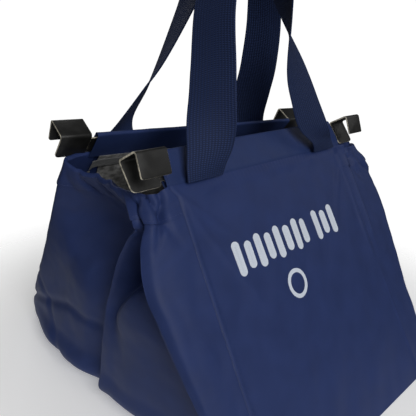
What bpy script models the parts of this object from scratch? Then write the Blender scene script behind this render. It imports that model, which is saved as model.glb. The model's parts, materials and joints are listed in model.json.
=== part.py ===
"""Folding fabric shopping bag that hooks into a supermarket trolley.

The bag stands on its base with its mouth nearly closed. Its front and back sides lean in
towards each other. Each side ends in a fabric sleeve round a flat steel bar, and each bar
carries two pressed hooks that drop over the trolley's rim. The gussets at the left and right
are gathered by an elastic hem. X runs along the bars, the front is at -Y and Z is up. The
origin is the middle of the base's underside. Units are metres.
"""

import math

import bmesh
import bpy
from mathutils import Euler, Matrix, Vector

# Driving dimensions
SLEEVE_LENGTH = 0.318
SLEEVE_HEIGHT = 0.0383
SLEEVE_THICKNESS = 0.0058
PANEL_SLOPE = 0.324            # front panel, from the base edge up to the sleeve's seam
PANEL_LEAN = math.radians(33)  # from the vertical, top leaning inwards
BASE_WIDTH = 0.324
MOUTH_HALF_GAP = 0.0602        # from the middle to each sleeve's seam
BAR_SHIFT = 0.004              # the two bars stand this far off centre, to opposite sides
BAR_YAW = math.radians(2.4)    # the mouth is narrower at the right
BACK_TILT = math.radians(1.5)  # the back bar drops to the right
SLEEVE_ROLL = {"front": math.radians(37.0), "back": math.radians(39.3)}

CLOTH = 0.0012
LINING = 0.0008
GAP = 0.0004                   # between pieces that touch on the real bag
BASE_SHEET = 0.002
BOARD_SHEET = 0.0028
BOARD_INSET = 0.012

BAR_SHEET = 0.0015
BAR_HEIGHT = 0.025
BAR_END_INSET = 0.002
HOOK_SHEET = 0.0018
HOOK_WIDTH = 0.0348
HOOK_GAP = 0.0047              # bare steel between the sleeve's end and the hook
HOOK_TOP_DROP = 0.0025
INNER_LEG = 0.0337
WEB_DEPTH = 0.0293
OUTER_LEG = 0.0263
WEB_DROOP = math.radians(7.7)
LEG_CLOSING = math.radians(16)
BEND_RADIUS = 0.0026
INNER_CORNER = 0.005
OUTER_CORNER = 0.0025
TONGUE_REACH = 0.030           # how far the hook's tongue runs into the sleeve
TONGUE_HEIGHT = 0.023
TONGUE_STEP = 0.0001           # the tongue is this much thinner, on each face, than the hook
RIVET_RADIUS = 0.0024
TONGUE_OVERLAP = 0.004         # and how far it runs on into the hook itself
CORNER_STEPS = (0.0, 0.14, 0.4, 0.7, 1.0)  # sections of a rounded corner, as shares of its radius
RIVET_INSETS = (0.010, 0.023)  # from the sleeve's end

STRAP_WIDTH = 0.050
STRAP_THICKNESS = 0.0022
STRAP_AXIS_OUT = 0.0065        # the handle swings about a line just outside the seam

FRONT_BULGE = 0.056            # how far the gussets stand out past the front seams at their fullest
BACK_BULGE = 0.030
HEM_BULGE = 0.031
FRONT_FULLEST = 0.66           # where the gussets are fullest, as shares of the seams' height
BACK_FULLEST = 0.30
FOOT_SWELL = 0.022             # how much further they swell in the middle, close to the floor
GUSSET_CORNER = 0.010          # how far behind a panel its gusset turns along the bag
PLEAT_LOW = 0.27               # the pleat's place low down and at the hem, from the front seam,
PLEAT_HIGH = 0.17              # as shares of the gusset's depth
PLEAT_DEPTH = 1.3              # as a share of the bulge
HEM_PLEAT_DEPTH = 0.35
HEM_HEIGHT = 0.0205
HEM_DROP = 0.0055              # from the sleeves' seams down to the hem's top
FOLD_WEDGE = math.radians(5)   # the part of a gusset that turns with its side
PLEAT_STARTS = (0.45, 0.70)    # the pleat deepens over these shares of the seams' height,
PLEAT_MOVES = (0.60, 0.95)     # moves forwards over these
PLEAT_GATHERS = (0.80, 0.95)   # and is taken up by the gathers over these
SWELL_GROWS = (0.0, 0.10)      # the swell grows and fades over these shares
SWELL_FADES = (0.15, 0.60)
STRIP_FOOT = 0.030             # the lowest point of the cloth that turns with a panel
FOLD_SLIT = 0.004              # left open on each side of a fold line, as a share along the wall
HEM_SLIT = 0.001               # left open under the hem
HEM_HALF_SHARE = 0.497         # each half of the hem ends this share along the wall
SEAM_GAP = 0.0016              # how far the turning cloth stands off the cloth that stays put
ELASTIC_HEIGHT = 0.012
ELASTIC_DROP = 0.004           # below the hem's top
ELASTIC_INSET = 0.0034         # inside the gusset's wall
ELASTIC_START = 0.13           # from the front seam, as a share of the gusset's depth

PANEL_OUT = 0.002              # the panels lie this far outside the bar
PANEL_SIDE_GAP = 0.0008
PANEL_FOOT = 0.006             # from the hinge line up to the panel's lower edge
PANEL_LINING_INSET = 0.0045    # inside the panel
PANEL_LINING_SIDE_GAP = 0.012
PANEL_LINING_FOOT = 0.014
SIDE_LINING_INSET = 0.006      # inside the line from panel to panel
SIDE_LINING_SAG = 0.016
SIDE_LINING_SAGS = (0.36, 0.51)  # the sag grows over these shares of the seams' height
SIDE_LINING_FOOT = 0.010
SIDE_LINING_DROP = 0.002       # from the hem's foot down to the lining's top
SIDE_LINING_START = 0.05       # behind the fold line, as a share along the wall
BINDING_HEIGHT = 0.012
BINDING_DROP = 0.002           # under the sleeve
BINDING_SHORT = 0.016          # each end stops this far before the sleeve's
BINDING_DEPTH = 0.0060         # inside the sleeve's middle plane

# Worked out from the driving dimensions
BASE_HALF = BASE_WIDTH / 2
BASE_DEPTH = 2 * (MOUTH_HALF_GAP + PANEL_SLOPE * math.sin(PANEL_LEAN))
HALF_DEPTH = BASE_DEPTH / 2
HINGE_HEIGHT = BASE_SHEET
SEAM_HEIGHT = HINGE_HEIGHT + PANEL_SLOPE * math.cos(PANEL_LEAN)
HEM_TOP = SEAM_HEIGHT - HEM_DROP
HEM_BOTTOM = HEM_TOP - HEM_HEIGHT
SLEEVE_HALF = SLEEVE_LENGTH / 2
FOLD_RADIUS = (SLEEVE_THICKNESS - LINING) / 2  # of the sleeve's cloth round the bar
SLEEVE_PLY = SLEEVE_HEIGHT - LINING / 2 - FOLD_RADIUS - GAP  # the straight part of each ply
SLEEVE_TURN = math.pi * FOLD_RADIUS
SLEEVE_CLOTH = 2 * SLEEVE_PLY + SLEEVE_TURN
WALLS = (("left", -1), ("right", 1))

# Handle routes, seen from each side's outside: along the bar, out from the seam, up from the
# seam, and the webbing's twist in degrees. Sizes are shares of the sleeve length.
FRONT_ROUTE = (
    (-0.352, 0.020, 0.008, 0),
    (-0.353, 0.024, 0.050, 8),
    (-0.336, 0.018, 0.115, 26),
    (-0.314, -0.006, 0.230, 61),
    (-0.291, -0.032, 0.340, 72),
    (-0.263, -0.064, 0.520, 84),
    (-0.196, -0.088, 0.690, 88),
    (-0.066, -0.096, 0.790, 90),
    (0.044, -0.088, 0.700, 88),
    (0.103, -0.064, 0.520, 54),
    (0.154, -0.032, 0.340, 13),
    (0.194, -0.006, 0.230, -2),
    (0.245, 0.022, 0.115, -14),
    (0.318, 0.024, 0.050, 4),
    (0.352, 0.020, 0.008, 0),
)
BACK_ROUTE = (
    (-0.346, 0.020, 0.008, 0),
    (-0.330, 0.024, 0.050, 20),
    (-0.308, 0.018, 0.115, 40),
    (-0.306, -0.006, 0.230, 53),
    (-0.300, -0.032, 0.340, 60),
    (-0.270, -0.064, 0.520, 75),
    (-0.200, -0.088, 0.690, 88),
    (-0.050, -0.096, 0.790, 90),
    (0.072, -0.088, 0.700, 88),
    (0.141, -0.064, 0.520, 77),
    (0.213, -0.032, 0.340, 65),
    (0.266, -0.006, 0.230, 52),
    (0.331, 0.022, 0.115, 39),
    (0.356, 0.024, 0.050, 14),
    (0.346, 0.020, 0.008, 0),
)


def clear_scene():
    for item in list(bpy.data.objects):
        bpy.data.objects.remove(item, do_unlink=True)


def make_collection(name):
    collection = bpy.data.collections.new(name)
    bpy.context.scene.collection.children.link(collection)
    return collection


def make_material(name, colour, roughness, metallic=0.0):
    material = bpy.data.materials.new(name)
    material.use_nodes = True
    shader = material.node_tree.nodes["Principled BSDF"]
    shader.inputs["Base Color"].default_value = (*colour, 1.0)
    shader.inputs["Roughness"].default_value = roughness
    shader.inputs["Metallic"].default_value = metallic
    return material


clear_scene()
MODEL = make_collection("trolley_bag")
CUTTERS = make_collection("cutters")
NAVY = make_material("navy_cloth", (0.020, 0.035, 0.130), 0.85)
WEBBING = make_material("navy_webbing", (0.018, 0.032, 0.105), 0.80)
GREY = make_material("grey_lining", (0.065, 0.065, 0.062), 0.90)
TAPE = make_material("binding_tape", (0.110, 0.110, 0.110), 0.85)
BLACK = make_material("black_steel", (0.018, 0.018, 0.018), 0.45, 0.6)
STEEL = make_material("plain_steel", (0.450, 0.450, 0.440), 0.40, 1.0)
BOARD = make_material("grey_board", (0.120, 0.115, 0.105), 0.90)
ELASTIC = make_material("white_elastic", (0.600, 0.600, 0.580), 0.85)


def add_object(name, mesh, material, parent=None, collection=None):
    piece = bpy.data.objects.new(name, mesh)
    (collection or MODEL).objects.link(piece)
    if material is not None:
        mesh.materials.append(material)
    piece.parent = parent
    return piece


def add_empty(name, location, rotation=(0, 0, 0), parent=None):
    empty = bpy.data.objects.new(name, None)
    MODEL.objects.link(empty)
    empty.parent = parent
    empty.location = location
    empty.rotation_euler = rotation
    empty.empty_display_size = 0.02
    return empty


def thicken(piece, thickness):
    """Turns an open surface into a closed sheet, half its thickness to each side."""
    solidify = piece.modifiers.new("Thickness", "SOLIDIFY")
    solidify.thickness = thickness
    solidify.offset = 0
    solidify.use_even_offset = True


def sheet(name, columns, rows, place, thickness, material, parent=None, origin=(0, 0, 0)):
    """A thin sheet: a grid whose points place(across, up) sets, both from 0 to 1."""
    mesh = bpy.data.meshes.new(name)
    grid = bmesh.new()
    bmesh.ops.create_grid(grid, x_segments=columns, y_segments=rows, size=1.0)
    for vertex in grid.verts:
        spot = place((vertex.co.x + 1) / 2, (vertex.co.y + 1) / 2)
        vertex.co = Vector(spot) - Vector(origin)
    grid.to_mesh(mesh)
    grid.free()
    piece = add_object(name, mesh, material, parent)
    thicken(piece, thickness)
    return piece


def block(name, low, high, material, parent=None, collection=None):
    """A plain box between two corners."""
    mesh = bpy.data.meshes.new(name)
    cube = bmesh.new()
    bmesh.ops.create_cube(cube, size=1.0)
    low = Vector(low)
    high = Vector(high)
    for vertex in cube.verts:
        share = vertex.co + Vector((0.5, 0.5, 0.5))
        vertex.co = low + share * (high - low)
    cube.to_mesh(mesh)
    cube.free()
    return add_object(name, mesh, material, parent, collection)


def pin(name, radius, depth, centre, material, parent=None, collection=None):
    """A short cylinder along the sleeve's own outward direction."""
    mesh = bpy.data.meshes.new(name)
    body = bmesh.new()
    bmesh.ops.create_cone(
        body, cap_ends=True, segments=16, radius1=radius, radius2=radius, depth=depth
    )
    bmesh.ops.translate(body, verts=body.verts, vec=Vector(centre))
    body.to_mesh(mesh)
    body.free()
    return add_object(name, mesh, material, parent, collection)


def combine(piece, other, operation):
    """Keeps the other object as a hidden guide of a Boolean modifier."""
    other.hide_render = True
    other.display_type = "WIRE"
    boolean = piece.modifiers.new(operation.title(), "BOOLEAN")
    boolean.operation = operation
    boolean.object = other
    boolean.solver = "EXACT"


def mix(a, b, share):
    return a + (b - a) * share


def smooth(share):
    share = min(max(share, 0.0), 1.0)
    return share * share * (3 - 2 * share)


def ramp(value, span):
    """0 up to the start of the span, 1 from its end."""
    start, finish = span
    return smooth((value - start) / (finish - start))


def rise_share(height):
    return (height - HINGE_HEIGHT) / (SEAM_HEIGHT - HINGE_HEIGHT)


def half_depth_at(height, side):
    """From the middle to a panel's left (side = -1) or right (side = 1) edge, front to back."""
    mouth = MOUTH_HALF_GAP - side * SLEEVE_HALF * math.sin(BAR_YAW)
    return mix(HALF_DEPTH, mouth, rise_share(height))


def edge_x_at(height, side, along):
    """X of the line from the front panel's edge (along = 0) to the back panel's (along = 1)."""
    share = rise_share(height)
    return mix(BASE_HALF, SLEEVE_HALF, share) * side + BAR_SHIFT * share * (1 - 2 * along)


# Gussets. Each wall is one surface from the front seam (along = 0) to the back seam (along = 1).


def wall_bulge(along, height):
    """How far the wall stands out: nothing at the base, most lower down, less at the hem."""
    fullest = mix(FRONT_FULLEST, BACK_FULLEST, smooth(along)) * SEAM_HEIGHT
    rise = math.sin(math.pi / 2 * min(height / fullest, 1))
    gather = smooth((height - fullest) / (HEM_TOP - fullest))
    return mix(mix(FRONT_BULGE, BACK_BULGE, smooth(along)) * rise, HEM_BULGE, gather)


def foot_swell(along, height):
    """The cloth that sags over the base's edge between the corners."""
    share = height / SEAM_HEIGHT
    swell = FOOT_SWELL * math.sin(math.pi * along)
    return swell * ramp(share, SWELL_GROWS) * (1 - ramp(share, SWELL_FADES))


def pleat_at(along, height, corner):
    """Depth of the pleat as a share of the bulge. It dies out halfway down the gusset."""
    share = height / SEAM_HEIGHT
    place = mix(PLEAT_LOW, PLEAT_HIGH, ramp(share, PLEAT_MOVES))
    off_pleat = (along - place) / (place - corner)
    if abs(off_pleat) >= 1:
        return 0
    depth = mix(PLEAT_DEPTH * ramp(share, PLEAT_STARTS), HEM_PLEAT_DEPTH, ramp(share, PLEAT_GATHERS))
    return depth * (0.5 + 0.5 * math.cos(math.pi * off_pleat))


def wall_point(along, height, side, inset=0.0):
    """A point on the left (side = -1) or right (side = 1) gusset wall, or on a layer inside it.

    From each seam the cloth first runs outwards beside the panel, and then turns along the bag.
    """
    half = half_depth_at(height, side)
    corner = min(GUSSET_CORNER / (2 * half), 0.8 * wedge_share(height, side))
    out = smooth(along / corner) * smooth((1 - along) / corner)
    out -= pleat_at(along, height, corner)
    reach = wall_bulge(along, height) * out + foot_swell(along, height) - inset
    x = edge_x_at(height, side, along) + side * reach
    return Vector((x, mix(-half, half, along), height))


def lining_point(along, height, side):
    """A point on the gusset's lining, which hangs inside the pleat."""
    half = half_depth_at(height, side)
    sag = SIDE_LINING_SAG * ramp(height / SEAM_HEIGHT, SIDE_LINING_SAGS)
    inset = SIDE_LINING_INSET + sag * math.sin(math.pi * along)
    x = edge_x_at(height, side, along) - side * inset
    return Vector((x, mix(-half, half, along), height))


def wedge_share(height, side):
    """Where the part of the wall that turns with a panel ends, as a share along the wall."""
    half = half_depth_at(height, side)
    kept = HALF_DEPTH - (height - HINGE_HEIGHT) * math.tan(PANEL_LEAN + FOLD_WEDGE)
    return (half - kept) / (2 * half)


def from_seam(along, facing):
    """Counts a share along the wall from the front (facing = -1) or back seam."""
    return along if facing < 0 else 1 - along


def build_gusset_centre(word, side):
    """The middle of a gusset, which stays with the base."""
    foot = BASE_SHEET + GAP + CLOTH
    top = HEM_BOTTOM - HEM_SLIT

    def place(across, up):
        height = mix(foot, top, up)
        edge = wedge_share(height, side) + FOLD_SLIT
        return wall_point(mix(edge, 1 - edge, across), height, side, CLOTH)

    sheet(f"gusset_centre_{word}", 26, 12, place, CLOTH, NAVY)


def build_gusset_lining(word, side):
    def place(across, up):
        height = mix(SIDE_LINING_FOOT, HEM_BOTTOM - SIDE_LINING_DROP, up)
        edge = wedge_share(height, side) + SIDE_LINING_START
        return lining_point(mix(edge, 1 - edge, across), height, side)

    sheet(f"gusset_lining_{word}", 16, 8, place, LINING, GREY)


def build_elastic(word, side):
    """Elastic band inside the hem, from seam to seam."""
    top = HEM_TOP - ELASTIC_DROP

    def place(across, up):
        height = mix(top - ELASTIC_HEIGHT, top, up)
        return wall_point(mix(ELASTIC_START, 1 - ELASTIC_START, across), height, side, ELASTIC_INSET)

    sheet(f"hem_elastic_{word}", 16, 1, place, LINING, ELASTIC)


def build_gusset_strip(name, pivot, origin, facing, side):
    """The part of a gusset beside a front (facing = -1) or back (facing = 1) panel."""

    def place(across, up):
        height = mix(STRIP_FOOT, HEM_BOTTOM - HEM_SLIT, up)
        along = mix(0.0, wedge_share(height, side) - FOLD_SLIT, across)
        return wall_point(from_seam(along, facing), height, side, -SEAM_GAP)

    sheet(name, 8, 10, place, CLOTH, NAVY, pivot, origin)


def build_hem(name, pivot, origin, facing, side):
    """Half of the gathered hem along a gusset's top, from the seam to the middle."""

    def place(across, up):
        height = mix(HEM_BOTTOM, HEM_TOP, up)
        along = mix(0.0, HEM_HALF_SHARE, across)
        return wall_point(from_seam(along, facing), height, side, -SEAM_GAP)

    sheet(name, 16, 2, place, CLOTH, NAVY, pivot, origin)


# Base


def build_base():
    block(
        "bottom_panel",
        (-BASE_HALF, -HALF_DEPTH, 0),
        (BASE_HALF, HALF_DEPTH, BASE_SHEET),
        NAVY,
    )
    board_foot = BASE_SHEET + GAP
    board_top = board_foot + BOARD_SHEET
    half_x = BASE_HALF - BOARD_INSET
    half_y = HALF_DEPTH - BOARD_INSET
    block("base_board", (-half_x, -half_y, board_foot), (half_x, half_y, board_top), BOARD)
    lining_foot = board_top + GAP
    block(
        "bottom_lining",
        (-half_x, -half_y, lining_foot),
        (half_x, half_y, lining_foot + LINING),
        GREY,
    )
    for word, side in WALLS:
        build_gusset_centre(word, side)
        build_gusset_lining(word, side)
        build_elastic(word, side)


# Sleeves, bars and hooks, built along the sleeve: x along the bar, y up from the seam,
# z out of the bag, with nought at the sleeve's middle plane.


def folded_profile(share):
    """The sleeve's cloth, from the outer ply's foot over the top to the inner ply's foot."""
    run = share * SLEEVE_CLOTH
    if run < SLEEVE_PLY:
        return GAP + run, FOLD_RADIUS
    if run < SLEEVE_PLY + SLEEVE_TURN:
        angle = (run - SLEEVE_PLY) / FOLD_RADIUS
        return GAP + SLEEVE_PLY + FOLD_RADIUS * math.sin(angle), FOLD_RADIUS * math.cos(angle)
    return GAP + SLEEVE_CLOTH - run, -FOLD_RADIUS


def build_sleeve(name, frame):
    """A strip of cloth folded over the bar."""
    turn_steps = 6
    turned = [(SLEEVE_PLY + SLEEVE_TURN * i / turn_steps) / SLEEVE_CLOTH for i in range(turn_steps + 1)]
    stations = [0.0, *turned, 1.0]
    rows = len(stations) - 1

    def place(across, up):
        y, z = folded_profile(stations[round(up * rows)])
        return Vector((mix(-SLEEVE_HALF, SLEEVE_HALF, across), y, z))

    sheet(name, 6, rows, place, LINING, NAVY, frame)


def build_bar(side_name, frame):
    """Flat steel bar inside the sleeve, with its rivet holes."""
    half = SLEEVE_HALF - BAR_END_INSET
    foot = (SLEEVE_HEIGHT - BAR_HEIGHT) / 2
    low = (-half, foot, -HOOK_SHEET)
    high = (half, foot + BAR_HEIGHT, BAR_SHEET - HOOK_SHEET)
    bar = block(f"{side_name}_bar", low, high, STEEL, frame)
    for end in (-1, 1):
        for number, inset in enumerate(RIVET_INSETS, 1):
            spot = (end * (SLEEVE_HALF - inset), SLEEVE_HEIGHT / 2, 0)
            name = f"{side_name}_bar_hole_{end}_{number}"
            hole = pin(name, RIVET_RADIUS + GAP, 0.02, spot, None, frame, CUTTERS)
            combine(bar, hole, "DIFFERENCE")


def hook_route():
    """The hook's bent middle line, as points up and out, with rounded bends."""
    middle = HOOK_SHEET / 2
    top = SLEEVE_HEIGHT - HOOK_TOP_DROP - middle
    foot = Vector((SLEEVE_HEIGHT - HOOK_TOP_DROP - INNER_LEG, middle))
    first = Vector((top, middle))
    web = Vector((-math.sin(WEB_DROOP), math.cos(WEB_DROOP)))
    second = first + web * (WEB_DEPTH - HOOK_SHEET)
    down = Vector((-math.cos(LEG_CLOSING), -math.sin(LEG_CLOSING)))
    tip = second + down * (OUTER_LEG - middle)
    points = [foot]
    for before, corner, after in ((foot, first, second), (first, second, tip)):
        into = (before - corner).normalized()
        away = (after - corner).normalized()
        turn = into.angle(away)
        reach = BEND_RADIUS / math.tan(turn / 2)
        centre = corner + (into + away).normalized() * (BEND_RADIUS / math.sin(turn / 2))
        start = corner + into * reach - centre
        finish = corner + away * reach - centre
        for step in range(5):
            arm = start.lerp(finish, step / 4).normalized() * BEND_RADIUS
            points.append(centre + arm)
    points.append(tip)
    return points


def rounded_stations(points):
    """The route's points, with more near each end where the corners are rounded."""
    foot, second = points[0], points[1]
    tip, last = points[-1], points[-2]
    along = (second - foot).normalized()
    back = (last - tip).normalized()
    stations = [(foot + along * INNER_CORNER * s, INNER_CORNER * s, INNER_CORNER) for s in CORNER_STEPS]
    stations += [(point, 1.0, 0.0) for point in points[1:-1]]
    ending = [(tip + back * OUTER_CORNER * s, OUTER_CORNER * s, OUTER_CORNER) for s in CORNER_STEPS]
    return stations + ending[::-1]


def build_hook(name, frame, end):
    """Pressed hook at one end of the bar (end = -1 or 1), with its tongue into the sleeve."""
    stations = rounded_stations(hook_route())
    rows = len(stations) - 1
    near = SLEEVE_HALF + HOOK_GAP
    middle = end * (near + HOOK_WIDTH / 2)

    def place(across, up):
        point, from_end, corner = stations[round(up * rows)]
        half = HOOK_WIDTH / 2
        if from_end < corner:
            rest = corner - from_end
            half -= corner - math.sqrt(corner * corner - rest * rest)
        return Vector((middle + mix(-half, half, across), point.x, point.y))

    hook = sheet(name, 2, rows, place, HOOK_SHEET, BLACK, frame)
    foot = (SLEEVE_HEIGHT - TONGUE_HEIGHT) / 2
    xs = sorted((end * (SLEEVE_HALF - TONGUE_REACH), end * (near + TONGUE_OVERLAP)))
    low = (xs[0], foot, TONGUE_STEP)
    high = (xs[1], foot + TONGUE_HEIGHT, HOOK_SHEET - TONGUE_STEP)
    tongue = block(f"{name}_tongue", low, high, BLACK, frame, CUTTERS)
    combine(hook, tongue, "UNION")
    for number, inset in enumerate(RIVET_INSETS, 1):
        spot = (end * (SLEEVE_HALF - inset), SLEEVE_HEIGHT / 2, 0)
        hole = pin(f"{name}_hole_{number}", RIVET_RADIUS + GAP, 0.02, spot, None, frame, CUTTERS)
        combine(hook, hole, "DIFFERENCE")


def build_rivets(side_name, word, frame, end):
    for number, inset in enumerate(RIVET_INSETS, 1):
        spot = (end * (SLEEVE_HALF - inset), SLEEVE_HEIGHT / 2, 0)
        name = f"{side_name}_rivet_{word}_{number}"
        pin(name, RIVET_RADIUS, 2 * HOOK_SHEET, spot, STEEL, frame)


# Front and back panels


def frame_matrix(location, rotation):
    return Matrix.Translation(location) @ Euler(rotation).to_matrix().to_4x4()


def flat_piece(to_world, facing, inset, side_gap, foot):
    """Where a flat piece of a side lies, from near the base edge up to the sleeve's seam."""

    def place(across, up):
        run = foot / PANEL_SLOPE
        half = BASE_HALF - side_gap
        low = Vector((mix(-half, half, across) * -facing, 0, HINGE_HEIGHT))
        low.y = facing * (HALF_DEPTH - inset / math.cos(PANEL_LEAN))
        seam = Vector((mix(-1, 1, across) * (SLEEVE_HALF - side_gap), -GAP, PANEL_OUT - inset))
        return low.lerp(to_world @ seam, mix(run, 1, up))

    return place


def build_panels(side_name, to_world, facing, pivot, hinge):
    """The outer cloth of a side and its lining."""
    outer = flat_piece(to_world, facing, 0.0, PANEL_SIDE_GAP, PANEL_FOOT)
    sheet(f"{side_name}_panel", 8, 6, outer, CLOTH, NAVY, pivot, hinge)
    inner = flat_piece(to_world, facing, PANEL_LINING_INSET, PANEL_LINING_SIDE_GAP, PANEL_LINING_FOOT)
    sheet(f"{side_name}_lining", 8, 6, inner, LINING, GREY, pivot, hinge)


def build_binding(name, frame):
    """Woven tape over the raw edge inside, just under the sleeve."""
    half = SLEEVE_HALF - BINDING_SHORT
    low = (-half, -BINDING_DROP - BINDING_HEIGHT, -BINDING_DEPTH - LINING)
    high = (half, -BINDING_DROP, -BINDING_DEPTH)
    block(name, low, high, TAPE, frame)


# Handles


def spline(points, share):
    """A point on a smooth curve through all the points, share from 0 to 1."""
    spans = len(points) - 1
    place = min(share * spans, spans - 1e-9)
    index = int(place)
    t = place - index
    p = [points[min(max(index + k, 0), spans)] for k in (-1, 0, 1, 2)]
    result = []
    for a, b, c, d in zip(*p):
        value = 2 * b + (c - a) * t + (2 * a - 5 * b + 4 * c - d) * t * t
        value += (3 * b - a - 3 * c + d) * t * t * t
        result.append(value / 2)
    return result


def handle_section(route, share):
    """Centre and width direction of the webbing, whose ends are cut level with the seam."""
    step = 0.004
    stiff_end = (0.10, 0.40)  # the webbing leaves the seam upright, and follows its route above this
    here = spline(route, share)
    ahead = spline(route, min(share + step, 1))
    behind = spline(route, max(share - step, 0))
    centre = Vector((here[0], -here[1], here[2])) * SLEEVE_LENGTH
    tangent = Vector((ahead[0] - behind[0], behind[1] - ahead[1], ahead[2] - behind[2]))
    rising = Vector((0, 0, 1 if share < 0.5 else -1))
    along = rising.lerp(tangent.normalized(), ramp(here[2], stiff_end)).normalized()
    twist = math.radians(here[3])
    round_loop = Vector((-along.z, 0, along.x))
    face = Vector((0, -math.cos(twist), 0)) + round_loop * math.sin(twist)
    return centre, along.cross(face).normalized()


def build_handle(name, route, seam_frame):
    """Webbing loop, sewn on at both ends and swinging about a line beside the seam."""
    pivot = add_empty(f"{name}_pivot", (0, -STRAP_AXIS_OUT, 0), (0, 0, 0), seam_frame)

    def place(across, up):
        centre, width = handle_section(route, up)
        return centre + width * (across - 0.5) * STRAP_WIDTH + Vector((0, STRAP_AXIS_OUT, 0))

    sheet(name, 2, 56, place, STRAP_THICKNESS, WEBBING, pivot)


def build_side(side_name, facing, route):
    """Everything that turns with the front (facing = -1) or back (facing = 1) side."""
    hinge = Vector((0, facing * HALF_DEPTH, HINGE_HEIGHT))
    pivot = add_empty(f"{side_name}_pivot", hinge)
    yaw = BAR_YAW if facing < 0 else math.pi - BAR_YAW
    tilt = 0.0 if facing < 0 else -BACK_TILT
    roll = math.pi / 2 - SLEEVE_ROLL[side_name]
    seam = Vector((-facing * BAR_SHIFT, facing * MOUTH_HALF_GAP, SEAM_HEIGHT))
    rotation = (roll, tilt, yaw)
    sleeve_frame = add_empty(f"{side_name}_sleeve_frame", seam - hinge, rotation, pivot)
    handle_frame = add_empty(f"{side_name}_handle_frame", seam - hinge, (0, tilt, yaw), pivot)
    to_world = frame_matrix(seam, rotation)

    build_panels(side_name, to_world, facing, pivot, hinge)
    build_sleeve(f"{side_name}_sleeve", sleeve_frame)
    build_bar(side_name, sleeve_frame)
    for word, side in WALLS:
        end = side * -facing
        build_hook(f"{side_name}_hook_{word}", sleeve_frame, end)
        build_rivets(side_name, word, sleeve_frame, end)
        build_gusset_strip(f"gusset_{side_name}_{word}", pivot, hinge, facing, side)
        build_hem(f"hem_{side_name}_{word}", pivot, hinge, facing, side)
    build_binding(f"{side_name}_binding", sleeve_frame)
    build_handle(f"{side_name}_handle", route, handle_frame)


build_base()
build_side("front", -1, FRONT_ROUTE)
build_side("back", 1, BACK_ROUTE)
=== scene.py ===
"""The looks of the folding trolley bag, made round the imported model.

X runs along the bars, the front is at -Y and Z is up. Units are metres. Each soft piece is a grid of
points with its UVs in metres, so that weave and ribs keep their real size.
"""

import json
import math

import bmesh
import bpy
import numpy as np
from mathutils import Matrix, Vector, noise
from mathutils.bvhtree import BVHTree


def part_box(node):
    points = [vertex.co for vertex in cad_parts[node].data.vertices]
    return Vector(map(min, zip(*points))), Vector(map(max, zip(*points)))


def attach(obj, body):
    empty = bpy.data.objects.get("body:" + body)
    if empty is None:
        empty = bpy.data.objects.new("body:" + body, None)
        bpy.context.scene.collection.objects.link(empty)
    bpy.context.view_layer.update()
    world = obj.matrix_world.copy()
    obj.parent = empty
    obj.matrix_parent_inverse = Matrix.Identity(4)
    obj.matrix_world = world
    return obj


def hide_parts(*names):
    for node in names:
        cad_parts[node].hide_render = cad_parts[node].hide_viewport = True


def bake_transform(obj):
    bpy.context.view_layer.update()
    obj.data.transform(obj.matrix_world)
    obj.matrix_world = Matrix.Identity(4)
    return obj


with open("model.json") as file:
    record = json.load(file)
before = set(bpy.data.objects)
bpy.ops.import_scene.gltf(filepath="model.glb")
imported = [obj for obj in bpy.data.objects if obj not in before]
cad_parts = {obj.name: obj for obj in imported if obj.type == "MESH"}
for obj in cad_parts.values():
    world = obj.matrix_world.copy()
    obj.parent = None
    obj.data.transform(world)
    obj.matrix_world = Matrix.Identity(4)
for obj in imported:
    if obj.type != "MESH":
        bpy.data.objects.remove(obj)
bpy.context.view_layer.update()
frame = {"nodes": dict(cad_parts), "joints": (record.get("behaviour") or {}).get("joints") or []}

# Sizes that follow the frame
JOINTS = {joint["name"]: joint for joint in frame["joints"]}
BASE_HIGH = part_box("bottom_panel")[1]
BASE_HALF = BASE_HIGH.x
HALF_DEPTH = BASE_HIGH.y
HINGE_HEIGHT = JOINTS["front_side_hinge"]["pos_m"][2]
SEAM_HEIGHT = JOINTS["front_handle_swing"]["pos_m"][2]
HEM_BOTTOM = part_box("hem_front_left")[0].z
HEM_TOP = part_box("hem_front_left")[1].z

# Sizes of the cloth
CLOTH = 0.0008
LINING = 0.0006
PANEL_OUT = 0.002  # the panels start this far outside the sleeve's middle plane
SLEEVE_RADIUS = 0.0025
STRAP_WIDTH = 0.050
STRAP_THICKNESS = 0.0018
STRAP_AXIS_OUT = 0.0065
STRAP_RIBS = 15
SWELL = 0.0034  # of the cloth at both sides of the front panel's right seam
SWELL_PLACE = 0.0090  # its crest's distance from the seam
SWELL_WIDTH = 0.0042
THREAD_RADIUS = 0.00026
THREAD_RISE = 0.00028
STITCH_LENGTH = 0.0026
STITCH_GAP = 0.0012
WEAVE = 0.0011  # between the cloth's threads

WALLS = (("left", -1), ("right", 1))


def mix(a, b, share):
    return a + (b - a) * share


def smooth(share):
    share = np.clip(share, 0.0, 1.0)
    return share * share * (3 - 2 * share)


def hill(value, centre, width):
    """1 at the centre, falling smoothly to nothing about twice the width away."""
    return np.exp(-(((value - centre) / width) ** 2))


def slopes(places, values):
    """Slopes of a smooth curve through the values, one row for each place."""
    steps = np.diff(places)
    rates = np.diff(values, axis=0) / steps[:, None]
    inner = (rates[:-1] * steps[1:, None] + rates[1:] * steps[:-1, None]) / (steps[1:] + steps[:-1])[:, None]
    return np.vstack([rates[:1], inner, rates[-1:]])


def cubic(start, finish, leaving, arriving, step, t):
    """A curve from start to finish with those slopes at its ends, where t runs from 0 to 1."""
    line = start * (1 + 2 * t) * (1 - t) ** 2 + finish * t * t * (3 - 2 * t)
    return line + leaving * step * t * (1 - t) ** 2 - arriving * step * t * t * (1 - t)


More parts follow.
